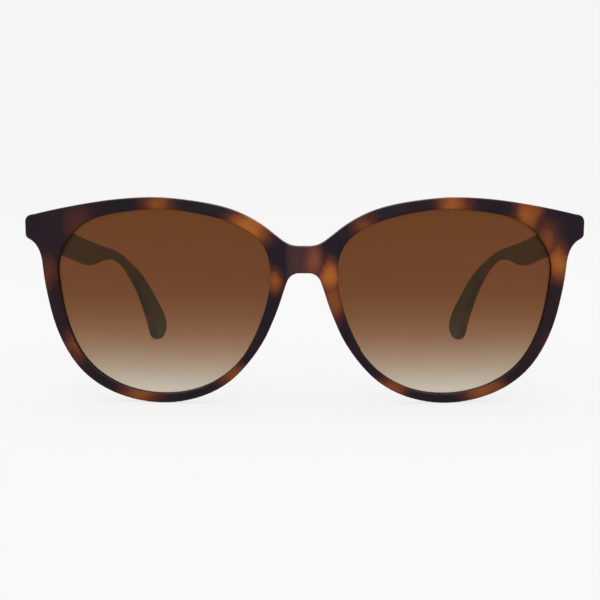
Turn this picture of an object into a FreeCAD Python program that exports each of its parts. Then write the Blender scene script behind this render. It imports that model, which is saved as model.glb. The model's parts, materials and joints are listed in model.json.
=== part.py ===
import FreeCAD, Part
import math
import os
import Sketcher

# Cat eye sunglasses: a moulded front with two wraparound lenses, glued nose pads, and two
# temples on five-knuckle barrel hinges.  Millimetres, +Z up, the front faces -Y, the temples
# run back along +Y, and +X is the wearer's left.  The origin is on the surface that the
# glasses stand on, under the middle of the whole object.

V = FreeCAD.Vector
doc = FreeCAD.newDocument("cat_eye_sunglasses")

# ------------------------------------------------------------------ driving dimensions
DIMENSIONS = [
    ("lens_width", 55.5, "visible width of one lens opening"),
    ("lens_height", 47.6, "visible height of one lens opening"),
    ("bridge_gap", 17.4, "distance between the two lens openings"),
    ("lens_level", 26.15, "height of the middle of a lens opening"),
    ("front_width", 146.6, "width over the two endpieces"),
    ("front_thickness", 4.0, "thickness of the front, square to its curve"),
    ("base_radius", 130.0, "radius of the base curve of the front"),
    ("base_side", 18.0, "distance of the base curve's centre from the middle plane"),
    ("facet_half", 4.4, "half the width of the facet on the bridge"),
    ("facet_level", 37.5, "height at which the facet's face passes through the bridge plane"),
    ("bridge_y", -73.4, "y of the bridge plane, which centres the object on the origin"),
    ("mitre", 20.0, "distance of the joint face behind the bridge plane"),
    ("joint_gap", 0.1, "gap between endpiece and temple"),
    ("endpiece_wall", 4.0, "thickness of the endpiece's side wall"),
    ("endpiece_root", 14.6, "distance behind the bridge plane where the side wall starts"),
    ("lens_setback", 1.2, "depth of the lens face below the face of the front"),
    ("lens_thickness", 1.8, "thickness of a lens"),
    ("groove_depth", 0.9, "how far the lens reaches into the rim"),
    ("groove_play", 0.05, "clearance round the lens in its groove"),
    ("wall_level", 41.0, "height of the bottom of the endpiece's side wall"),
    ("wall_top", 47.95, "height of the top of the side wall and of the temple's front end"),
    ("temple_round", 0.8, "rounding of a temple's edges next to the head"),
    ("temple_outer_round", 1.25, "rounding of a temple's outer edges"),
    ("axis_x", 67.3, "distance of the hinge axis from the middle plane"),
    ("knuckle_radius", 1.3, "outer radius of the hinge knuckles"),
    ("knuckle_length", 1.06, "height of one knuckle"),
    ("knuckle_play", 0.04, "gap between two knuckles"),
    ("barrel_bottom", 42.0, "height of the bottom of the hinge barrel"),
    ("pin_radius", 0.6, "radius of the hinge screw's shank"),
    ("pin_play", 0.03, "clearance round the hinge screw"),
    ("leaf_thickness", 1.0, "thickness of a hinge leaf"),
    ("leaf_height", 5.0, "height of a hinge leaf"),
    ("leaf_rise", 0.2, "height of a leaf's lower edge above the bottom of the barrel"),
    ("leaf_start", 1.6, "distance of a leaf's near end from the hinge axis"),
    ("leaf_slope", 10.5, "angle at which the temple and its leaf fall to the rear"),
    ("front_leaf_length", 3.2, "length of the leaf on the front"),
    ("temple_leaf_length", 11.0, "length of the leaf on the temple"),
    ("fixing_radius", 0.45, "radius of a leaf screw's shank"),
    ("fixing_head", 0.85, "radius of a leaf screw's head"),
    ("fixing_length", 2.4, "length of a leaf screw's shank"),
    ("screw_head", 1.05, "radius of the hinge screw's head"),
    ("screw_head_height", 0.5, "height of the hinge screw's head"),
    ("slot_width", 0.28, "width of the slot in the hinge screw's head"),
    ("slot_depth", 0.25, "depth of the slot in the hinge screw's head"),
    ("pad_length", 20.0, "length of a nose pad"),
    ("pad_depth", 9.6, "depth of a nose pad from front to back"),
    ("pad_thickness", 4.2, "thickness of a nose pad"),
]

sheet = doc.addObject("Spreadsheet::Sheet", "dims")
for row, (alias, value, meaning) in enumerate(DIMENSIONS, start=1):
    sheet.set("A%d" % row, alias)
    sheet.set("B%d" % row, str(value))
    sheet.setAlias("B%d" % row, alias)
    sheet.set("C%d" % row, meaning)
doc.recompute()


def dim(alias):
    """A driving dimension's value, read from the sheet."""
    return float(sheet.get(alias))


UPRIGHT = FreeCAD.Rotation(V(1, 0, 0), 90)       # a sketch in the XZ plane
SIDEWAYS = FreeCAD.Rotation(V(1, 1, 1), 120)     # a sketch in the YZ plane
REACH = 200.0                                    # longer than anything that a tool cuts
NEAR = 0.01                                      # closer than this is the same place


# ------------------------------------------------------------------ small helpers
def bind(obj, **expressions):
    """Bind an object's properties to expressions of the sheet's cells."""
    for prop, expression in expressions.items():
        obj.setExpression(prop, expression)
    return obj


def boolean(kind, name, *shapes):
    """A Part boolean: Cut and Common take two shapes, MultiFuse takes a list."""
    result = doc.addObject("Part::" + kind, name)
    if kind == "MultiFuse":
        result.Shapes = list(shapes)
    else:
        result.Base, result.Tool = shapes
    return result


def mirrored(source, name):
    """The same piece on the other side of the middle plane."""
    twin = doc.addObject("Part::Mirroring", name)
    twin.Source = source
    twin.Normal = V(1, 0, 0)
    return twin


def spline(points, closed=False, start=None, end=None):
    """A smooth curve through flat points."""
    curve = Part.BSplineCurve()
    places = [V(a, b, 0) for a, b in points]
    if closed:
        curve.interpolate(Points=places, PeriodicFlag=True)
    elif start is not None:
        curve.interpolate(Points=places, InitialTangent=V(*start, 0), FinalTangent=V(*end, 0))
    else:
        curve.interpolate(Points=places)
    return curve


def line(a, b):
    return Part.LineSegment(V(a[0], a[1], 0), V(b[0], b[1], 0))


def arc(a, middle, b):
    return Part.Arc(V(a[0], a[1], 0), V(middle[0], middle[1], 0), V(b[0], b[1], 0))


def outline_sketch(name, curves, rotation, offset=V(0, 0, 0)):
    """A sketch that holds a closed outline."""
    sketch = doc.addObject("Sketcher::SketchObject", name)
    sketch.Placement = FreeCAD.Placement(offset, rotation)
    for curve in curves:
        sketch.addGeometry(curve, False)
    return sketch


def extrusion(name, sketch, direction, length):
    """A solid prism over a sketch, as long each way as the length says."""
    prism = doc.addObject("Part::Extrusion", name)
    prism.Base = sketch
    prism.DirMode = "Custom"
    prism.Dir = direction
    prism.LengthFwd = length
    prism.LengthRev = length
    prism.Solid = True
    return prism


def fillet(name, base, radius_of):
    """Round each edge of a solid by its own radius.  A radius of zero leaves the edge sharp."""
    doc.recompute()
    rounding = doc.addObject("Part::Fillet", name)
    rounding.Base = base
    radii = [(i, radius_of(edge)) for i, edge in enumerate(base.Shape.Edges, start=1)]
    rounding.Edges = [(i, radius, radius) for i, radius in radii if radius > 0]
    return rounding


# ------------------------------------------------------------------ outlines of the front
# The lens opening, as fractions of its half width and half height, anticlockwise from the
# temporal side.  It is widest above its middle, and its lower half is nearly round.
OPENING_SHAPE = [
    (0.993, 0.270), (0.938, 0.600), (0.735, 0.848), (0.388, 0.970), (0.007, 1.008),
    (-0.409, 0.945), (-0.750, 0.810), (-0.946, 0.608), (-1.004, 0.333), (-0.924, -0.173),
    (-0.699, -0.654), (-0.355, -0.928), (0.000, -1.000), (0.370, -0.928), (0.696, -0.688),
    (0.902, -0.257),
]

# Half of the upper edge from the middle of the bridge, and half of the lower edge from the
# endpiece to the nose gap, as distance from the middle plane and height.
UPPER_EDGE = [(3.35, 41.0), (6.65, 43.0), (9.6, 45.35), (13.5, 47.85), (17.5, 49.7), (23.7, 51.45),
              (30.0, 52.45), (36.5, 53.05), (43.5, 52.95), (51.0, 52.25), (59.0, 50.95),
              (65.5, 49.65)]
BRIDGE_TOP = 40.7
LOWER_EDGE = [(70.45, 40.75), (69.0, 38.4), (68.15, 34.0), (66.75, 26.5), (64.95, 20.0),
              (62.2, 13.85), (58.05, 8.15), (53.3, 4.4), (47.05, 1.6), (41.5, 0.35), (36.5, 0.0),
              (31.5, 0.5), (25.35, 2.25), (19.15, 5.8), (15.05, 9.8), (12.05, 13.7),
              (9.7, 17.6), (7.95, 21.5), (6.45, 25.3), (5.2, 29.15)]

# The rounded corners of an endpiece and of the nose gap, as a start, a middle and an end.
END_TOP_CORNER = ((71.4, 48.25), (72.85, 47.7), (73.3, 46.5))
END_BOTTOM_CORNER = ((73.15, 43.0), (72.85, 42.4), (72.1, 41.9))
NOSE_CORNER = ((4.3, 31.7), (3.45, 33.0), (1.6, 33.85))


def half_mirror(points):
    return [(-a, b) for a, b in points]


def on_side(side, points):
    return [(side * a, b) for a, b in points]


def front_outline():
    """The outer outline of the front, from the bridge round both rims."""
    upper = half_mirror(UPPER_EDGE)[::-1] + [(0, BRIDGE_TOP)] + UPPER_EDGE
    curves = [spline(half_mirror(END_TOP_CORNER[:1]) + upper + [END_TOP_CORNER[0]])]
    for side in (1, -1):
        top = on_side(side, END_TOP_CORNER)
        bottom = on_side(side, END_BOTTOM_CORNER)
        nose = on_side(side, NOSE_CORNER)
        curves.append(arc(*top))
        curves.append(line(top[-1], bottom[0]))
        curves.append(arc(*bottom))
        curves.append(spline([bottom[-1]] + on_side(side, LOWER_EDGE) + [nose[0]]))
        curves.append(arc(*nose))
    curves.append(line(half_mirror(NOSE_CORNER)[-1], NOSE_CORNER[-1]))
    return curves


def opening_outline(grow):
    """The left lens opening, larger all round by the given amount."""
    half_width = dim("lens_width") / 2 + grow
    half_height = dim("lens_height") / 2 + grow
    centre = (dim("bridge_gap") + dim("lens_width")) / 2
    points = [(centre + u * half_width, dim("lens_level") + v * half_height)
              for u, v in OPENING_SHAPE]
    return [spline(points, closed=True)]


# ------------------------------------------------------------------ the front's curved slab
def base_sphere(name, depth_expression):
    """A ball about the centre of the left base curve, smaller by the given depth."""
    ball = doc.addObject("Part::Sphere", name)
    bind(ball, Radius="dims.base_radius - (%s)" % depth_expression)
    ball.setExpression(".Placement.Base.x", "dims.base_side")
    ball.setExpression(".Placement.Base.y", "dims.bridge_y + " + FACET_DEPTH)
    ball.setExpression(".Placement.Base.z", "dims.lens_level")
    return ball


def curved_slab(name, shallow, deep):
    """The space between two depths below the face of the base curve."""
    return boolean("Cut", name, base_sphere(name + "_near", shallow),
                   base_sphere(name + "_far", deep))


# Distance from the bridge plane back to the centre of the base curve, so that the base curve
# meets the facet where the facet crosses the bridge plane.
FACET_DEPTH = ("sqrt(dims.base_radius^2 - (dims.base_side - dims.facet_half)^2"
               " - (dims.facet_level - dims.lens_level)^2)")


def facet_roller(name, depth_expression):
    """A roller across the bridge that meets the ball of the same depth at the facet's edge."""
    roller = doc.addObject("Part::Cylinder", name)
    bind(roller, Radius="sqrt((dims.base_radius - (%s))^2 - (dims.base_side - dims.facet_half)^2)"
         % depth_expression, Height="2 * dims.facet_half")
    roller.Placement.Rotation = FreeCAD.Rotation(V(0, 1, 0), 90)
    roller.setExpression(".Placement.Base.x", "-dims.facet_half")
    roller.setExpression(".Placement.Base.y", "dims.bridge_y + " + FACET_DEPTH)
    roller.setExpression(".Placement.Base.z", "dims.lens_level")
    return roller


def box(name, low, high):
    """A box between two corners given as sheet expressions or numbers."""
    block = doc.addObject("Part::Box", name)
    sizes = ["(%s) - (%s)" % (b, a) for a, b in zip(low, high)]
    bind(block, Length=sizes[0], Width=sizes[1], Height=sizes[2])
    for axis, place in zip("xyz", low):
        block.setExpression(".Placement.Base." + axis, str(place))
    return block


def zone(name, low_x, high_x):
    """All that lies between two distances from the middle plane, near the front."""
    return box(name, (low_x, -REACH, -REACH), (high_x, "dims.bridge_y + dims.base_radius / 2", REACH))


def make_front():
    """The front before its openings are cut: rims, bridge and endpieces in one piece."""
    left_slab = boolean("Common", "left_slab", curved_slab("rim", "0", "dims.front_thickness"),
                        zone("rim_zone", "dims.facet_half", REACH))
    right_slab = mirrored(left_slab, "right_slab")
    rollers = boolean("Cut", "bridge_rollers", facet_roller("facet_face", "0"),
                      facet_roller("facet_back", "dims.front_thickness"))
    bridge_slab = boolean("Common", "bridge_slab", rollers, zone("bridge_zone", -REACH, REACH))
    left_wall = box("left_wall", ("dims.front_width / 2 - dims.endpiece_wall",
                                  "dims.bridge_y + dims.endpiece_root", "dims.wall_level"),
                    (REACH, "dims.bridge_y + dims.mitre - dims.joint_gap / 2", "dims.wall_top"))
    right_wall = mirrored(left_wall, "right_wall")
    blank = boolean("MultiFuse", "front_blank", bridge_slab, left_slab, right_slab,
                    left_wall, right_wall)
    outline = extrusion("front_prism", outline_sketch("front_outline", front_outline(), UPRIGHT),
                        V(0, 1, 0), REACH)
    return boolean("Common", "front_body", blank, outline)


def opening_prism(name, grow):
    sketch = outline_sketch(name + "_outline", opening_outline(grow), UPRIGHT)
    return extrusion(name, sketch, V(0, 1, 0), REACH)


def lens_solid(name, play):
    """The left lens, or with some play the space that it needs."""
    slab = curved_slab(name + "_slab", "dims.lens_setback - %g" % play,
                       "dims.lens_setback + dims.lens_thickness + %g" % play)
    prism = opening_prism(name + "_prism", dim("groove_depth") + play)
    half = boolean("Common", name + "_half", slab, zone(name + "_zone", 0, REACH))
    return boolean("Common", name, half, prism)


# ------------------------------------------------------------------ nose pads
PAD_CENTRE = (10.6, 5.4, 22.2)      # distance from the middle, behind the bridge plane, height
PAD_LEAN = 21.0                     # the pads' upper ends lean towards each other
PAD_SPLAY = 22.0                    # the pads open out towards the face


def make_pad(front, opening):
    """The left nose pad: a flattened egg shaped to the back and the inner side of the rim."""
    egg = doc.addObject("Part::Ellipsoid", "pad_egg")
    bind(egg, Radius1="dims.pad_length / 2", Radius2="dims.pad_thickness / 2",
         Radius3="dims.pad_depth / 2")
    lean = FreeCAD.Rotation(V(0, 1, 0), -PAD_LEAN)
    splay = FreeCAD.Rotation(V(0, 0, 1), -PAD_SPLAY)
    egg.Placement = FreeCAD.Placement(V(*PAD_CENTRE), lean * splay)
    egg.setExpression(".Placement.Base.y", "dims.bridge_y + %g" % PAD_CENTRE[1])
    behind_rim = boolean("Cut", "pad_behind_rim", egg, front)
    return boolean("Cut", "left_nose_pad", behind_rim, opening)


# ------------------------------------------------------------------ temples
# The side of a temple, as distance behind the bridge plane and height: a deep straight front
# half with a hump below its end, a thin neck over the ear, and a paddle that comes down to
# the level of the bottoms of the rims.
TEMPLE_TOP_FRONT = (20.05, dim("wall_top"))
TEMPLE_TOP_END = (98.0, 34.05)
TEMPLE_CURVE = [(108.5, 31.8), (117.0, 28.6), (129.2, 22.4), (140.4, 13.5), (146.4, 7.4),
                (147.7, 3.6), (145.6, 0.85), (142.0, 0.03), (139.2, 0.9), (137.2, 3.6),
                (132.6, 10.7), (127.6, 16.7), (120.6, 22.7), (116.4, 25.6), (112.0, 27.7),
                (106.0, 29.4), (100.0, 30.0), (94.0, 30.0), (89.0, 29.7), (85.0, 29.45),
                (80.5, 29.8)]
TEMPLE_BOTTOM_END = (76.0, 30.55)
TEMPLE_BOTTOM_FRONT = (20.05, dim("wall_level"))

# The same temple from above, as distance behind the bridge plane, distance of its middle
# from the middle plane, and thickness.
TEMPLE_PLAN = [(20.05, 71.3, 4.0), (34.0, 70.75, 3.9), (50.0, 69.6, 3.7), (65.0, 68.1, 3.4),
               (80.0, 66.2, 3.2), (100.0, 62.4, 2.8), (120.0, 57.4, 2.7), (135.0, 53.0, 2.8),
               (150.0, 48.2, 2.8)]


def temple_side_outline():
    fall = (TEMPLE_TOP_END[0] - TEMPLE_TOP_FRONT[0], TEMPLE_TOP_END[1] - TEMPLE_TOP_FRONT[1])
    rise = (TEMPLE_BOTTOM_FRONT[0] - TEMPLE_BOTTOM_END[0],
            TEMPLE_BOTTOM_FRONT[1] - TEMPLE_BOTTOM_END[1])
    return [line(TEMPLE_TOP_FRONT, TEMPLE_TOP_END),
            spline([TEMPLE_TOP_END] + TEMPLE_CURVE + [TEMPLE_BOTTOM_END], start=fall, end=rise),
            line(TEMPLE_BOTTOM_END, TEMPLE_BOTTOM_FRONT),
            line(TEMPLE_BOTTOM_FRONT, TEMPLE_TOP_FRONT)]


def temple_plan_outline():
    outer = [(middle + thick / 2, y) for y, middle, thick in TEMPLE_PLAN]
    inner = [(middle - thick / 2, y) for y, middle, thick in TEMPLE_PLAN]
    return [spline(outer), line(outer[-1], inner[-1]), spline(inner), line(inner[0], outer[0])]


def temple_edge_radius(edge):
    """Long edges are rounded, the outer ones more.  The joint face's and short ones are not."""
    ends_at_joint = edge.BoundBox.YMax < dim("bridge_y") + TEMPLE_TOP_FRONT[0] + NEAR
    if ends_at_joint or edge.Length < 2 * max(thick for _, _, thick in TEMPLE_PLAN):
        return 0
    middle = edge.valueAt((edge.FirstParameter + edge.LastParameter) / 2)
    behind = middle.y - dim("bridge_y")
    ahead, after = [pair for pair in zip(TEMPLE_PLAN, TEMPLE_PLAN[1:]) if pair[0][0] <= behind][-1]
    share = (behind - ahead[0]) / (after[0] - ahead[0])
    middle_x = ahead[1] + share * (after[1] - ahead[1])
    return dim("temple_outer_round") if middle.x > middle_x else dim("temple_round")


def make_temple():
    """The left temple: its side outline carried through its plan outline."""
    side_sketch = outline_sketch("temple_side", temple_side_outline(), SIDEWAYS)
    plan_sketch = outline_sketch("temple_plan", temple_plan_outline(), FreeCAD.Rotation())
    for sketch in (side_sketch, plan_sketch):
        sketch.setExpression(".Placement.Base.y", "dims.bridge_y")
    side = extrusion("temple_side_prism", side_sketch, V(1, 0, 0), REACH)
    plan = extrusion("temple_plan_prism", plan_sketch, V(0, 0, 1), REACH)
    blank = boolean("Common", "temple_blank", plan, side)
    return fillet("temple_rounded", blank, temple_edge_radius)


# ------------------------------------------------------------------ hinges
def origin_plane(body, role):
    return [feature for feature in body.Origin.OriginFeatures if feature.Role == role][0]


def hinge_body(name):
    """A body whose origin is on the left hinge axis, at the bottom of the barrel."""
    body = doc.addObject("PartDesign::Body", name)
    body.setExpression(".Placement.Base.x", "dims.axis_x")
    body.setExpression(".Placement.Base.y", "dims.bridge_y + dims.mitre")
    body.setExpression(".Placement.Base.z", "dims.barrel_bottom")
    return body


def plane_sketch(body, name, role, curves, offset=V(0, 0, 0)):
    """A sketch on one of a body's origin planes, lifted off it by the offset."""
    sketch = body.newObject("Sketcher::SketchObject", name)
    sketch.AttachmentSupport = (origin_plane(body, role), [""])
    sketch.MapMode = "FlatFace"
    sketch.AttachmentOffset = FreeCAD.Placement(offset, FreeCAD.Rotation())
    for curve in curves:
        sketch.addGeometry(curve, False)
    return sketch


def pad(body, name, sketch, length, both_ways=False):
    feature = body.newObject("PartDesign::Pad", name)
    feature.Profile = sketch
    feature.setExpression("Length", length)
    if both_ways:
        feature.SideType = "Symmetric"
    return feature


def closed_lines(points):
    return [line(a, b) for a, b in zip(points, points[1:] + points[:1])]


LUG_OVERLAP = 0.1                   # how far a knuckle's lug runs into its leaf


def knuckle_outline(away):
    """A knuckle and its lug.  The lug reaches the leaf ahead of the axis (-1) or behind it (1)."""
    radius = dim("knuckle_radius")
    far = radius + dim("leaf_thickness")
    reach = away * (dim("leaf_start") + LUG_OVERLAP)
    return [line((far, 0), (radius, 0)),
            arc((radius, 0), (-radius * math.sqrt(0.5), away * -radius * math.sqrt(0.5)),
                (0, away * radius)),
            line((0, away * radius), (0, reach)),
            line((0, reach), (far, reach)),
            line((far, reach), (far, 0))]


def leaf_outline(away, length, slope):
    """The side of a leaf: a plate with its far corners cut off, sloping down by the tangent."""
    near = dim("leaf_start")
    far = near + length
    low = dim("leaf_rise")
    high = low + dim("leaf_height")
    corner = dim("leaf_height") / 5
    drop_corner = slope * (length - corner)
    drop = slope * length
    points = [(near, low), (far - corner, low - drop_corner), (far, low + corner - drop),
              (far, high - corner - drop), (far - corner, high - drop_corner), (near, high)]
    return closed_lines([(away * y, z) for y, z in points])


def make_leaf(name, away, knuckles, length_alias, slope):
    """A hinge leaf: a plate on the plastic's inner face and its share of the knuckles."""
    body = hinge_body(name)
    pitch = dim("knuckle_length") + dim("knuckle_play")
    for number in knuckles:
        sketch = plane_sketch(body, "%s_knuckle_%d" % (name, number), "XY_Plane",
                              knuckle_outline(away), V(0, 0, number * pitch))
        pad(body, "%s_barrel_%d" % (name, number), sketch, "dims.knuckle_length")
    plate = plane_sketch(body, name + "_side", "YZ_Plane",
                         leaf_outline(away, dim(length_alias), slope),
                         V(0, 0, dim("knuckle_radius")))
    pad(body, name + "_plate", plate, "dims.leaf_thickness")
    doc.recompute()
    bore = plane_sketch(body, name + "_bore_circle", "XY_Plane",
                        [Part.Circle(V(0, 0, 0), V(0, 0, 1), dim("pin_radius"))])
    bore.addConstraint(Sketcher.Constraint("Coincident", 0, 3, -1, 1))
    radius = bore.addConstraint(Sketcher.Constraint("Radius", 0, dim("pin_radius")))
    bore.setExpression("Constraints[%d]" % radius, "dims.pin_radius + dims.pin_play")
    hole = body.newObject("PartDesign::Pocket", name + "_bore")
    hole.Profile = bore
    hole.Reversed = True
    hole.Length = REACH
    return body


SCREW_CHAMFER = 0.2                 # at the tip of the shank and round the head
HEAD_PLAY = 0.02                    # between the screw's head and the top knuckle


def make_hinge_screw():
    """The left hinge screw, turned about the hinge axis, with a slot across its head."""
    body = hinge_body("left_hinge_screw")
    shank = dim("pin_radius")
    head = dim("screw_head")
    top = 5 * dim("knuckle_length") + 4 * dim("knuckle_play") + HEAD_PLAY
    crown = top + dim("screw_head_height")
    profile = closed_lines([(0, -SCREW_CHAMFER), (shank - SCREW_CHAMFER, -SCREW_CHAMFER),
                            (shank, 0), (shank, top), (head, top), (head, crown - SCREW_CHAMFER),
                            (head - SCREW_CHAMFER, crown), (0, crown)])
    sketch = plane_sketch(body, "screw_profile", "XZ_Plane", profile)
    turned = body.newObject("PartDesign::Revolution", "screw_turned")
    turned.Profile = sketch
    turned.ReferenceAxis = (sketch, ["V_Axis"])
    turned.Angle = 360
    doc.recompute()
    along = 2 * head
    across = dim("slot_width") / 2
    corners = [(-along, -across), (along, -across), (along, across), (-along, across)]
    slot = plane_sketch(body, "screw_slot_outline", "XY_Plane", closed_lines(corners),
                        V(0, 0, crown - dim("slot_depth")))
    cut = body.newObject("PartDesign::Pocket", "screw_slot")
    cut.Profile = slot
    cut.Reversed = True
    cut.Length = REACH
    return body


def leaf_screw(name, y, z):
    """A countersunk screw through a leaf, heading outwards along +X from the leaf's face."""
    shank = doc.addObject("Part::Cylinder", name + "_shank")
    bind(shank, Radius="dims.fixing_radius", Height="dims.fixing_length")
    head = doc.addObject("Part::Cone", name + "_head")
    bind(head, Radius1="dims.fixing_head", Radius2="dims.fixing_radius",
         Height="dims.fixing_head - dims.fixing_radius")
    for piece in (shank, head):
        piece.Placement.Rotation = FreeCAD.Rotation(V(0, 1, 0), 90)
        piece.setExpression(".Placement.Base.x", "dims.axis_x + dims.knuckle_radius")
        piece.setExpression(".Placement.Base.y", "dims.bridge_y + dims.mitre + (%g)" % y)
        piece.setExpression(".Placement.Base.z", "dims.barrel_bottom + (%g)" % z)
    return boolean("MultiFuse", name, shank, head)


def leaf_screws(name, places):
    screws = [leaf_screw("%s_%d" % (name, i), y, z) for i, (y, z) in enumerate(places, start=1)]
    return boolean("MultiFuse", name, *screws)


# ------------------------------------------------------------------ the whole object
FRONT_SCREWS = [(-3.2, 1.5), (-3.2, 3.9)]
TEMPLE_SCREWS = [(5.0, 2.05), (9.6, 1.2)]

left_lens = lens_solid("left_lens", 0.0)
left_groove = lens_solid("left_groove", dim("groove_play"))
right_groove = mirrored(left_groove, "right_groove")
left_opening = opening_prism("left_opening", 0.0)
right_opening = mirrored(left_opening, "right_opening")

slope = math.tan(math.radians(dim("leaf_slope")))
front_leaf_body = make_leaf("front_leaf", -1, (0, 2, 4), "front_leaf_length", 0.0)
temple_leaf_body = make_leaf("temple_leaf", 1, (1, 3), "temple_leaf_length", slope)
left_hinge_screw = make_hinge_screw()
left_front_screws = leaf_screws("left_front_leaf_screws", FRONT_SCREWS)
left_temple_screws = leaf_screws("left_temple_leaf_screws", TEMPLE_SCREWS)
left_front_leaf = boolean("Cut", "left_front_hinge_leaf", front_leaf_body, left_front_screws)
left_temple_leaf = boolean("Cut", "left_temple_hinge_leaf", temple_leaf_body, left_temple_screws)

openings = boolean("MultiFuse", "lens_openings", left_opening, right_opening,
                   left_groove, right_groove)
front_blank = make_front()
rims = boolean("Cut", "rims", front_blank, openings)
front_tools = [left_front_leaf, left_front_screws]
front_recesses = boolean("MultiFuse", "front_recesses", *front_tools,
                         *[mirrored(tool, tool.Name + "_twin") for tool in front_tools])
front = boolean("Cut", "front", rims, front_recesses)
left_nose_pad = make_pad(front_blank, left_opening)

temple_recess = boolean("MultiFuse", "temple_recess", left_temple_leaf, left_temple_screws)
left_temple = boolean("Cut", "left_temple", make_temple(), temple_recess)

LEFT_PIECES = [left_lens, left_nose_pad, left_temple, left_front_leaf, left_temple_leaf,
               left_hinge_screw, left_front_screws, left_temple_screws]
pieces = [front] + LEFT_PIECES
for piece in LEFT_PIECES:
    pieces.append(mirrored(piece, piece.Name.replace("left_", "right_")))
for piece in pieces:
    piece.Label = piece.Name

doc.recompute()

# ------------------------------------------------------------------ checks and export
for obj in doc.Objects:
    if "Invalid" in obj.State or "Error" in obj.State:
        raise RuntimeError("%s did not compute: %s" % (obj.Name, obj.State))
for piece in pieces:
    if piece.Shape.isNull() or not piece.Shape.isValid() or not piece.Shape.Solids:
        raise RuntimeError("%s has no valid solid" % piece.Label)

os.makedirs("parts", exist_ok=True)
for piece in pieces:
    piece.Shape.exportStep("parts/%s.step" % piece.Label)
    box_of = piece.Shape.optimalBoundingBox()
    print("%-26s %d solid(s) %9.2f mm3  x %.2f..%.2f  y %.2f..%.2f  z %.2f..%.2f"
          % (piece.Label, len(piece.Shape.Solids), piece.Shape.Volume, box_of.XMin, box_of.XMax,
             box_of.YMin, box_of.YMax, box_of.ZMin, box_of.ZMax))
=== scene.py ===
"""Looks of the cat eye sunglasses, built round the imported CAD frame."""

import json
import math

import bmesh
import bpy
import numpy as np
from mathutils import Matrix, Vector

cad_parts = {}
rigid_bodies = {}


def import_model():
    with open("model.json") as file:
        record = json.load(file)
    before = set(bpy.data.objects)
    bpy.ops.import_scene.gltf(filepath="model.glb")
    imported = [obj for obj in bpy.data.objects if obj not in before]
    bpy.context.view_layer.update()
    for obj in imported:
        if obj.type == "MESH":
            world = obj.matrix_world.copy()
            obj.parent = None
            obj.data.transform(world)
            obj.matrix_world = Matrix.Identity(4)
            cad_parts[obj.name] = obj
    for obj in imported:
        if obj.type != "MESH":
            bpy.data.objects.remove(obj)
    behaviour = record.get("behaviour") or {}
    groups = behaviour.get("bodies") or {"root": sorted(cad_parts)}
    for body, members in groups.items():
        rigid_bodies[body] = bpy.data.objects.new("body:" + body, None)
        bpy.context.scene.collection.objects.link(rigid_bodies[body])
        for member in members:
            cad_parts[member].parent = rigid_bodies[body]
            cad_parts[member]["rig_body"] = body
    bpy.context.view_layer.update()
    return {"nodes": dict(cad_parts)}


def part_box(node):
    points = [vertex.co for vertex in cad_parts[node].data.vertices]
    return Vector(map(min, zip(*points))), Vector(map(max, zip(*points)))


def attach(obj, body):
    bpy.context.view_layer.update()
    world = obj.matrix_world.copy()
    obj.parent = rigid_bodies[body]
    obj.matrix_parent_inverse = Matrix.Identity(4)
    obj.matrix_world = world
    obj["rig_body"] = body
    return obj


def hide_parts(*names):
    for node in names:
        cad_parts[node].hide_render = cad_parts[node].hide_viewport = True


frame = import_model()
NODES = frame["nodes"]
MM = 0.001
SIDES = {"left": 1, "right": -1}            # the wearer's left is +X
BRIDGE_Y = -73.4 * MM                       # the plane of the bridge's facet


# ------------------------------------------------------------------ mesh helpers
def add_object(name, mesh):
    obj = bpy.data.objects.new(name, mesh)
    bpy.context.scene.collection.objects.link(obj)
    return obj


def smooth_shaded(mesh, sharp_angle=None):
    """Shade a mesh smooth, apart from edges sharper than the given angle in degrees."""
    mesh.shade_smooth()
    if sharp_angle is not None:
        mesh.set_sharp_from_angle(angle=math.radians(sharp_angle))


def baked(obj):
    """Turn an object's modifiers into its own mesh."""
    graph = bpy.context.evaluated_depsgraph_get()
    mesh = bpy.data.meshes.new_from_object(obj.evaluated_get(graph))
    obj.modifiers.clear()
    obj.data = mesh
    return obj


def body_of(node):
    return NODES[node]["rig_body"]


def stand_in(obj, node):
    """Let a finished piece take the place of a CAD node and move with the same body."""
    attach(obj, body_of(node))
    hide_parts(node)
    return obj


def moulded(node, voxel, passes):
    """A copy of a CAD node with its edges softened as in tumbled plastic."""
    obj = add_object(node + "_moulded", NODES[node].data.copy())
    obj.data.materials.clear()
    remesh = obj.modifiers.new("fine_grid", "REMESH")
    remesh.mode = "VOXEL"
    remesh.voxel_size = voxel
    soften = obj.modifiers.new("tumbled", "SMOOTH")
    soften.factor = 0.5
    soften.iterations = passes
    baked(obj)
    smooth_shaded(obj.data)
    return stand_in(obj, node)


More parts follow.
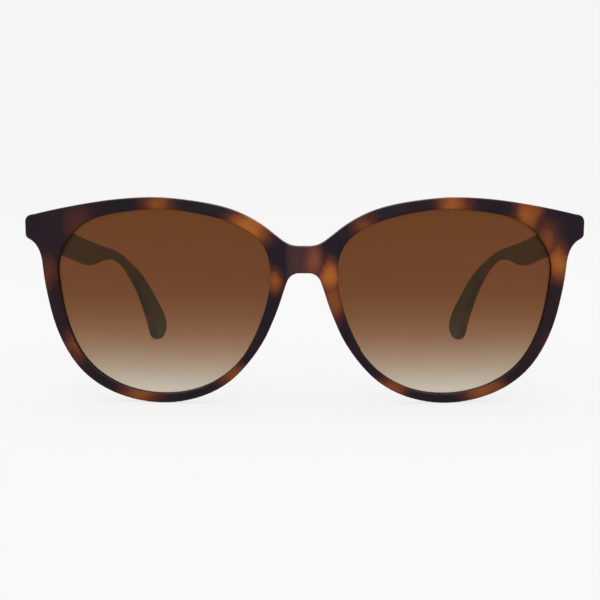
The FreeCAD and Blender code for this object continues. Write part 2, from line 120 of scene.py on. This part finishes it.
# ------------------------------------------------------------------ shader helpers
class Shader:
    """A material with short calls for adding nodes and linking them."""

    def __init__(self, name):
        self.material = bpy.data.materials.new(name)
        self.material.use_nodes = True
        self.tree = self.material.node_tree
        self.surface = self.tree.nodes["Principled BSDF"]

    def node(self, kind, **settings):
        made = self.tree.nodes.new(kind)
        for key, value in settings.items():
            setattr(made, key, value)
        return made

    def link(self, out, into):
        self.tree.links.new(out, into)

    def value(self, socket, number):
        self.surface.inputs[socket].default_value = number

    def math(self, operation, a, b=None):
        made = self.node("ShaderNodeMath", operation=operation)
        for socket, source in zip(made.inputs, (a, b)):
            self.feed(socket, source)
        return made.outputs[0]

    def vector(self, operation, a, b=None, scale=None):
        made = self.node("ShaderNodeVectorMath", operation=operation)
        for socket, source in zip(made.inputs, (a, b)):
            self.feed(socket, source)
        if scale is not None:
            made.inputs["Scale"].default_value = scale
        return made.outputs["Value" if operation == "LENGTH" else "Vector"]

    def feed(self, socket, source):
        if source is None:
            return
        if isinstance(source, bpy.types.NodeSocket):
            self.link(source, socket)
        else:
            socket.default_value = source

    def millimetres(self):
        """The place on the piece in the object's own frame, in millimetres."""
        place = self.node("ShaderNodeTexCoord").outputs["Object"]
        return self.vector("SCALE", place, scale=1 / MM)

    def noise(self, place, scale, detail=2.0, roughness=0.5):
        made = self.node("ShaderNodeTexNoise")
        made.inputs["Scale"].default_value = scale
        made.inputs["Detail"].default_value = detail
        made.inputs["Roughness"].default_value = roughness
        self.link(place, made.inputs["Vector"])
        return made

    def ramp(self, factor, stops):
        made = self.node("ShaderNodeValToRGB")
        made.color_ramp.interpolation = "LINEAR"
        elements = made.color_ramp.elements
        while len(elements) < len(stops):
            elements.new(0.5)
        for element, (position, colour) in zip(elements, stops):
            element.position = position
            element.color = (*colour, 1)
        self.link(factor, made.inputs["Fac"])
        return made.outputs["Color"]

    def range(self, value, low, high, to_low=0.0, to_high=1.0, smooth=True):
        """Map one range of a value to another, and hold it level outside."""
        made = self.node("ShaderNodeMapRange", clamp=True)
        made.interpolation_type = "SMOOTHSTEP" if smooth else "LINEAR"
        for socket, number in zip(("From Min", "From Max", "To Min", "To Max"),
                                  (low, high, to_low, to_high)):
            made.inputs[socket].default_value = number
        self.link(value, made.inputs["Value"])
        return made.outputs["Result"]

    def bump(self, height, strength, distance):
        made = self.node("ShaderNodeBump")
        made.inputs["Strength"].default_value = strength
        made.inputs["Distance"].default_value = distance
        self.link(height, made.inputs["Height"])
        self.link(made.outputs["Normal"], self.surface.inputs["Normal"])


def srgb(red, green, blue):
    """An 8-bit screen colour as the linear colour that shaders use."""
    def one(level):
        level /= 255
        return level / 12.92 if level <= 0.04045 else ((level + 0.055) / 1.055) ** 2.4
    return (one(red), one(green), one(blue))


# ------------------------------------------------------------------ tortoiseshell
# Amber patches of the front: distance to the wearer's left and height of the middle, half
# width, half height (all in mm), and strength from 0 to 1.
FRONT_PATCHES = [
    (-59.0, 47.0, 7.5, 9.0, 0.42), (-37.2, 51.0, 7.0, 6.5, 0.74), (-14.2, 45.6, 9.5, 7.0, 0.98),
    (-7.6, 31.6, 4.0, 6.0, 0.80), (-17.6, 7.6, 8.0, 6.0, 0.72), (-42.5, 2.2, 9.0, 5.5, 0.75),
    (-59.6, 14.4, 6.0, 8.0, 0.62), (-67.0, 33.5, 5.0, 8.5, 0.52), (2.2, 37.0, 5.0, 9.0, 0.66),
    (6.6, 32.6, 4.0, 7.0, 1.00), (7.4, 26.5, 4.0, 9.0, 0.72), (-2.4, 37.0, 4.0, 9.0, 0.36),
    (15.5, 46.0, 6.0, 6.5, 0.62), (38.0, 51.5, 7.5, 6.5, 0.85), (58.0, 48.4, 6.2, 8.0, 0.84),
    (63.2, 42.0, 5.0, 8.0, 0.66), (66.4, 36.0, 5.0, 8.5, 0.92), (47.0, 3.0, 10.5, 6.0, 0.76),
    (21.8, 3.6, 8.0, 6.0, 0.72), (63.0, 16.5, 4.0, 6.0, 0.35),
]
# Amber patches of a temple: distance behind the bridge plane, height, half length, half
# height, strength.
TEMPLE_PATCHES = [
    (31.0, 44.5, 7.0, 7.0, 0.80), (52.0, 36.0, 9.0, 6.0, 0.62), (70.0, 37.0, 7.0, 6.0, 0.85),
    (92.0, 31.0, 9.0, 5.0, 0.72), (117.0, 27.0, 7.0, 7.0, 0.80), (137.0, 8.0, 8.0, 6.0, 0.78),
]
TORTOISE = [(0.00, srgb(19, 7, 22)), (0.25, srgb(31, 11, 20)), (0.50, srgb(76, 32, 20)),
            (0.75, srgb(124, 64, 22)), (1.00, srgb(160, 90, 28))]
MAROON = 0.26                               # the most amber that the mottle alone gives
MOTTLE_SCALE = 0.07                         # the scales are in cells per mm
WAVER_SCALE = 0.16
WAVER_REACH = 5.0                           # the full width of the wavering, in mm
PATCH_FADE = 1.32                           # where a patch ends, in its own half sizes
GRAIN_SCALE = 9.0
CLOUD_SCALE = 0.5
GRAIN_HEIGHT = 0.02 * MM


def amber_field(shader, place, patches, flatten):
    """How amber the plastic is: soft patches with wavering edges over a faint mottle."""
    waver = shader.noise(place, WAVER_SCALE, detail=3.0)
    offset = shader.vector("SUBTRACT", waver.outputs["Color"], (0.5, 0.5, 0.5))
    moved = shader.vector("ADD", place, shader.vector("SCALE", offset, scale=WAVER_REACH))
    total = None
    for first, second, half_first, half_second, strength in patches:
        centre, stretch = flatten(first, second, half_first, half_second)
        away = shader.vector("LENGTH", shader.vector(
            "MULTIPLY", shader.vector("SUBTRACT", moved, centre), stretch))
        patch = shader.range(away, 0.0, PATCH_FADE, to_low=strength, to_high=0.0)
        total = patch if total is None else shader.math("MAXIMUM", total, patch)
    mottle = shader.noise(place, MOTTLE_SCALE, detail=1.0)
    faint = shader.range(mottle.outputs["Fac"], 0.42, 0.72, to_high=MAROON)
    return shader.math("MAXIMUM", total, faint)


def across_front(x, z, half_x, half_z):
    """A patch of the front runs right through it, from front to back."""
    return (x, 0, z), (1 / half_x, 0, 1 / half_z)


def along_temple(y, z, half_y, half_z):
    """A patch of a temple runs right through it, from side to side."""
    return (0, BRIDGE_Y / MM + y, z), (0, 1 / half_y, 1 / half_z)


def tortoise(name, patches, flatten, highlight_and_inner_tones):
    """Satin tortoiseshell plastic with a very fine tumbled surface."""
    shader = Shader(name)
    place = shader.millimetres()
    amber = amber_field(shader, place, patches, flatten)
    # The front gets a painted highlight on its bridge facet; the temples get their plain inner
    # tones.
    colour = highlight_and_inner_tones(shader, place, shader.ramp(amber, TORTOISE))
    shader.link(colour, shader.surface.inputs["Base Color"])
    grain = shader.noise(place, GRAIN_SCALE, detail=3.0, roughness=0.6)
    cloud = shader.noise(place, CLOUD_SCALE, detail=2.0)
    rough = shader.math("ADD", shader.range(grain.outputs["Fac"], 0.3, 0.7, -0.03, 0.03),
                        shader.range(cloud.outputs["Fac"], 0.3, 0.7, 0.36, 0.44))
    shader.link(rough, shader.surface.inputs["Roughness"])
    shader.bump(grain.outputs["Fac"], 0.25, GRAIN_HEIGHT)
    shader.value("Specular IOR Level", 0.14)
    shader.value("Sheen Weight", 0.10)
    shader.value("Sheen Roughness", 0.30)
    shader.value("Sheen Tint", (1.0, 0.88, 0.86, 1))
    return shader.material


FACET_HALF = 4.4                            # half the width of the bridge's facet, in mm
FACET_PAINTED_HIGHLIGHT = (0.020, 0.010, 0.011)          # the painted highlight added to the facet, standing in for its reflection of the lights
FACET_BLEND = 0.5                           # half the width of the facet's soft ends, in mm
TEMPLE_REACH = 148.0                        # from the bridge plane to the tips, in mm
INNER_SHARE = 0.85                          # how far the inner tones hide the tortoiseshell
# The side of a temple that faces the head: brown near the hinge, darker, olive at the tip.
INNER_TONES = [(0.00, (0.040, 0.032, 0.020)), (0.55, (0.062, 0.048, 0.026)),
               (0.82, (0.026, 0.030, 0.018)), (1.00, (0.042, 0.056, 0.026))]


def facet_painted_highlight(shader, place, colour):
    """A painted highlight: the flat on the bridge is made a little paler than the rims,
    standing in for the lights it reflects.
    """
    split = shader.node("ShaderNodeSeparateXYZ")
    shader.link(place, split.inputs[0])
    from_middle = shader.math("ABSOLUTE", split.outputs["X"])
    on_facet = shader.range(from_middle, FACET_HALF - FACET_BLEND, FACET_HALF + FACET_BLEND,
                            1.0, 0.0)
    highlighted = shader.node("ShaderNodeMix", data_type="RGBA", blend_type="ADD")
    shader.link(on_facet, highlighted.inputs["Factor"])
    shader.link(colour, highlighted.inputs["A"])
    highlighted.inputs["B"].default_value = (*FACET_PAINTED_HIGHLIGHT, 1)
    return highlighted.outputs["Result"]


def plain_inside(shader, place, colour):
    """A temple is laminated: tortoiseshell outside, nearly plain dark tones inside."""
    facing = shader.node("ShaderNodeTexCoord").outputs["Normal"]
    at, towards = (shader.node("ShaderNodeSeparateXYZ") for _ in range(2))
    shader.link(place, at.inputs[0])
    shader.link(facing, towards.inputs[0])
    outward = shader.math("MULTIPLY", shader.math("SIGN", at.outputs["X"]),
                          towards.outputs["X"])
    inside = shader.range(outward, -0.75, -0.25, INNER_SHARE, 0.0)
    bridge = BRIDGE_Y / MM
    along = shader.range(at.outputs["Y"], bridge, bridge + TEMPLE_REACH, smooth=False)
    mixed = shader.node("ShaderNodeMix", data_type="RGBA")
    shader.link(inside, mixed.inputs["Factor"])
    shader.link(colour, mixed.inputs["A"])
    shader.link(shader.ramp(along, INNER_TONES), mixed.inputs["B"])
    return mixed.outputs["Result"]


# ------------------------------------------------------------------ lenses
BASE_RADIUS = 130.0 * MM                    # the base curve of the front
BASE_SIDE = 18.0 * MM                       # the middle of the curve: to the side,
BASE_BACK = BRIDGE_Y + 128.787 * MM         # its y,
BASE_LEVEL = 26.15 * MM                     # and its height
LENS_SETBACK = 1.2 * MM
LENS_THICKNESS = 1.8 * MM
LENS_SECTORS = 144
LENS_RINGS = 24
EDGE_SAMPLES = 41
LENS_SHARP_ANGLE = 40


def lens_rim(node, centre):
    """The outline of a CAD lens, as its reach from the centre in each direction."""
    mesh = NODES[node].data
    corners = np.array([(v.co.x - centre.x, v.co.z - centre.z) for v in mesh.vertices])
    ends = corners[np.array([edge.vertices[:] for edge in mesh.edges])]
    reach = np.zeros(LENS_SECTORS)
    for share in np.linspace(0.0, 1.0, EDGE_SAMPLES):
        points = ends[:, 0] * (1 - share) + ends[:, 1] * share
        turns = np.arctan2(points[:, 1], points[:, 0]) / (2 * math.pi)
        sectors = np.round(turns * LENS_SECTORS).astype(int) % LENS_SECTORS
        np.maximum.at(reach, sectors, np.hypot(points[:, 0], points[:, 1]))
    around = [np.roll(reach, shift) for shift in (-1, 0, 1)]
    return sum(around) / len(around)


def make_lens(side_name):
    """A curved lens with a closed edge, on the same spheres as the CAD lens."""
    node = side_name + "_lens"
    side = SIDES[side_name]
    low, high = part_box(node)
    centre = (low + high) / 2
    reach = lens_rim(node, centre)
    middle = Vector((side * BASE_SIDE, BASE_BACK, BASE_LEVEL))
    bm = bmesh.new()

    def on_sphere(radius, x, z):
        depth = math.sqrt(radius ** 2 - (x - middle.x) ** 2 - (z - middle.z) ** 2)
        return bm.verts.new((x, middle.y - depth, z))

    faces = []
    for radius in (BASE_RADIUS - LENS_SETBACK, BASE_RADIUS - LENS_SETBACK - LENS_THICKNESS):
        rows = []
        for ring in range(1, LENS_RINGS + 1):
            row = []
            for sector in range(LENS_SECTORS):
                angle = 2 * math.pi * sector / LENS_SECTORS
                out = reach[sector] * ring / LENS_RINGS
                row.append(on_sphere(radius, centre.x + out * math.cos(angle),
                                     centre.z + out * math.sin(angle)))
            rows.append(row)
        faces.append((on_sphere(radius, centre.x, centre.z), rows))
    for hub, rows in faces:
        for sector in range(LENS_SECTORS):
            after = (sector + 1) % LENS_SECTORS
            bm.faces.new((hub, rows[0][sector], rows[0][after]))
            for inner, outer in zip(rows, rows[1:]):
                bm.faces.new((inner[sector], outer[sector], outer[after], inner[after]))
    near, far = faces[0][1][-1], faces[1][1][-1]
    for sector in range(LENS_SECTORS):
        after = (sector + 1) % LENS_SECTORS
        bm.faces.new((near[sector], far[sector], far[after], near[after]))
    bmesh.ops.recalc_face_normals(bm, faces=bm.faces)
    mesh = bpy.data.meshes.new(node)
    bm.to_mesh(mesh)
    bm.free()
    smooth_shaded(mesh, LENS_SHARP_ANGLE)
    lens = add_object(node + "_tinted", mesh)
    lens.data.materials.append(lens_glass())
    return stand_in(lens, node)


# The tint by height in mm: what one face of the lens lets through, and its own brown haze.
LENS_TINT = [
    (3.5, (0.990, 0.925, 0.845), (0.180, 0.170, 0.152)),
    (6.0, (0.917, 0.847, 0.757), (0.110, 0.102, 0.090)),
    (10.0, (0.812, 0.692, 0.570), (0.102, 0.094, 0.081)),
    (14.0, (0.715, 0.555, 0.428), (0.093, 0.085, 0.066)),
    (18.0, (0.641, 0.437, 0.303), (0.084, 0.077, 0.054)),
    (23.0, (0.553, 0.350, 0.214), (0.080, 0.068, 0.036)),
    (27.0, (0.521, 0.301, 0.183), (0.078, 0.063, 0.028)),
    (32.0, (0.499, 0.268, 0.158), (0.078, 0.061, 0.025)),
    (46.0, (0.481, 0.253, 0.116), (0.078, 0.061, 0.025)),
]
LENS_BODY = 0.25                            # how much of a face is haze, not see-through


def lens_glass():
    """Gradient tint: a see-through colour that thins downwards over a brown haze."""
    if "gradient_lens" in bpy.data.materials:
        return bpy.data.materials["gradient_lens"]
    shader = Shader("gradient_lens")
    split = shader.node("ShaderNodeSeparateXYZ")
    shader.link(shader.millimetres(), split.inputs[0])
    low, high = LENS_TINT[0][0], LENS_TINT[-1][0]
    level = shader.range(split.outputs["Z"], low, high, smooth=False)
    places = [(z - low) / (high - low) for z, clear, haze in LENS_TINT]
    clear = shader.ramp(level, [(at, row[1]) for at, row in zip(places, LENS_TINT)])
    haze = shader.ramp(level, [(at, row[2]) for at, row in zip(places, LENS_TINT)])
    through = shader.node("ShaderNodeBsdfTransparent")
    shader.link(clear, through.inputs["Color"])
    shader.link(haze, shader.surface.inputs["Base Color"])
    shader.value("Roughness", 0.10)
    shader.value("Specular IOR Level", 0.40)
    both = shader.node("ShaderNodeMixShader")
    both.inputs["Fac"].default_value = LENS_BODY
    shader.link(through.outputs[0], both.inputs[1])
    shader.link(shader.surface.outputs[0], both.inputs[2])
    shader.link(both.outputs[0], shader.tree.nodes["Material Output"].inputs["Surface"])
    return shader.material


# ------------------------------------------------------------------ metal
MARKS_SCALE = 6.0
MARKS_HEIGHT = 0.01 * MM
WELD_DISTANCE = 0.002 * MM
BEVEL_ANGLE = 35
LEAF_BEVEL = 0.12 * MM
SCREW_BEVEL = 0.05 * MM


def steel(name, colour, roughness):
    """Nickel-plated hinge metal with fine tumbling marks."""
    shader = Shader(name)
    place = shader.millimetres()
    marks = shader.noise(place, MARKS_SCALE, detail=4.0, roughness=0.65)
    duller = [0.86 * channel for channel in colour]
    tone = shader.ramp(marks.outputs["Fac"], [(0.3, duller), (0.7, colour)])
    shader.link(tone, shader.surface.inputs["Base Color"])
    rough = shader.range(marks.outputs["Fac"], 0.3, 0.7, roughness - 0.06, roughness + 0.08)
    shader.link(rough, shader.surface.inputs["Roughness"])
    shader.bump(marks.outputs["Fac"], 0.3, MARKS_HEIGHT)
    shader.value("Metallic", 1.0)
    return shader.material


def finished(node, bevel):
    """A copy of a small metal CAD node with bevelled edges and smooth shading."""
    obj = add_object(node + "_finished", NODES[node].data.copy())
    obj.data.materials.clear()
    bm = bmesh.new()
    bm.from_mesh(obj.data)
    bmesh.ops.remove_doubles(bm, verts=bm.verts, dist=WELD_DISTANCE)
    bmesh.ops.dissolve_limit(bm, angle_limit=math.radians(1), verts=bm.verts, edges=bm.edges)
    bm.to_mesh(obj.data)
    bm.free()
    edge = obj.modifiers.new("bevel", "BEVEL")
    edge.width = bevel
    edge.segments = 2
    edge.limit_method = "ANGLE"
    edge.angle_limit = math.radians(BEVEL_ANGLE)
    baked(obj)
    smooth_shaded(obj.data, BEVEL_ANGLE)
    return stand_in(obj, node)


# ------------------------------------------------------------------ the pieces
FRONT_GRID = 0.25 * MM
TEMPLE_GRID = 0.30 * MM


def make_pieces():
    # The front's bridge facet gets a painted highlight.
    front_plastic = tortoise("tortoise_front", FRONT_PATCHES, across_front, facet_painted_highlight)
    temple_plastic = tortoise("tortoise_temple", TEMPLE_PATCHES, along_temple, plain_inside)
    hinge_steel = steel("hinge_steel", (0.62, 0.60, 0.56), 0.32)
    screw_steel = steel("screw_steel", (0.70, 0.69, 0.66), 0.24)

    front = moulded("front", FRONT_GRID, 8)
    front.data.materials.append(front_plastic)
    for side in SIDES:
        make_lens(side)
        pad = moulded(side + "_nose_pad", FRONT_GRID, 10)
        pad.data.materials.append(front_plastic)
        temple = moulded(side + "_temple", TEMPLE_GRID, 6)
        temple.data.materials.append(temple_plastic)
        for leaf in ("front_hinge_leaf", "temple_hinge_leaf"):
            made = finished("%s_%s" % (side, leaf), LEAF_BEVEL)
            made.data.materials.append(hinge_steel)
        for screw in ("hinge_screw", "front_leaf_screws", "temple_leaf_screws"):
            made = finished("%s_%s" % (side, screw), SCREW_BEVEL)
            made.data.materials.append(screw_steel)


# ------------------------------------------------------------------ studio
FLOOR_AHEAD = 6.0                           # sizes in metres, from the middle of the glasses
FLOOR_BEHIND = 1.0
SWEEP_BEND = 0.6
BEND_STEPS = 16
SWEEP_TOP = 3.0
SWEEP_HALF_WIDTH = 5.0
SWEEP_GLOW = 0.775
WORLD_GLOW = 0.93


def pale_sweep():
    """A pale floor that curves up into a backdrop behind the glasses."""
    profile = [(-FLOOR_AHEAD, 0.0), (FLOOR_BEHIND, 0.0)]
    for step in range(1, BEND_STEPS + 1):
        angle = math.radians(90 * step / BEND_STEPS)
        profile.append((FLOOR_BEHIND + SWEEP_BEND * math.sin(angle),
                        SWEEP_BEND * (1 - math.cos(angle))))
    profile.append((FLOOR_BEHIND + SWEEP_BEND, SWEEP_TOP))
    bm = bmesh.new()
    rows = [[bm.verts.new((x, y, z)) for y, z in profile]
            for x in (-SWEEP_HALF_WIDTH, SWEEP_HALF_WIDTH)]
    for i in range(len(profile) - 1):
        bm.faces.new((rows[0][i], rows[1][i], rows[1][i + 1], rows[0][i + 1]))
    mesh = bpy.data.meshes.new("pale_sweep")
    bm.to_mesh(mesh)
    bm.free()
    smooth_shaded(mesh)
    sweep = add_object("pale_sweep", mesh)
    shader = Shader("pale_sweep")
    shader.value("Base Color", (0.15, 0.145, 0.145, 1))
    shader.value("Roughness", 0.9)
    shader.value("Specular IOR Level", 0.0)
    shader.value("Emission Color", (1, 1, 1, 1))
    shader.value("Emission Strength", SWEEP_GLOW)
    sweep.data.materials.append(shader.material)


def soft_light(name, place, aim, size, power):
    lamp = bpy.data.lights.new(name, "AREA")
    lamp.shape = "RECTANGLE"
    lamp.size, lamp.size_y = size
    lamp.energy = power
    obj = bpy.data.objects.new(name, lamp)
    bpy.context.scene.collection.objects.link(obj)
    obj.location = place
    obj.rotation_euler = (Vector(aim) - Vector(place)).to_track_quat("-Z", "Y").to_euler()


def studio():
    pale_sweep()
    soft_light("top_softbox", place=(0, 0.05, 0.9), aim=(0, 0, 0), size=(1.2, 0.9), power=2.6)
    soft_light("front_softbox", place=(0, -1.0, 0.6), aim=(0, -0.05, 0.03), size=(0.5, 0.4),
               power=1.0)
    world = bpy.data.worlds.new("studio")
    world.use_nodes = True
    background = world.node_tree.nodes["Background"]
    background.inputs["Color"].default_value = (1, 1, 1, 1)
    background.inputs["Strength"].default_value = WORLD_GLOW
    bpy.context.scene.world = world
    bpy.context.scene.view_settings.view_transform = "Standard"


CAMERA_DISTANCE = 0.450                     # in metres from the bridge plane
CAMERA_HEIGHT = 0.0705
CAMERA_SIDE = 0.004
AIM_HEIGHT = 0.02705
SENSOR_WIDTH = 36.0                         # in mm, as the focal length
FOCAL_LENGTH = 106.08
FRAMING_SHIFT = -0.0065                     # the glasses sit a little right of the middle


def photo_camera():
    data = bpy.data.cameras.new("photo_camera")
    data.sensor_width = SENSOR_WIDTH
    data.lens = FOCAL_LENGTH
    data.shift_x = FRAMING_SHIFT
    data.clip_start = 0.01
    camera = bpy.data.objects.new("photo_camera", data)
    bpy.context.scene.collection.objects.link(camera)
    place = Vector((CAMERA_SIDE, BRIDGE_Y - CAMERA_DISTANCE, CAMERA_HEIGHT))
    aim = Vector((0, BRIDGE_Y, AIM_HEIGHT))
    camera.location = place
    camera.rotation_euler = (aim - place).to_track_quat("-Z", "Y").to_euler()
    bpy.context.scene.camera = camera


make_pieces()
studio()
photo_camera()
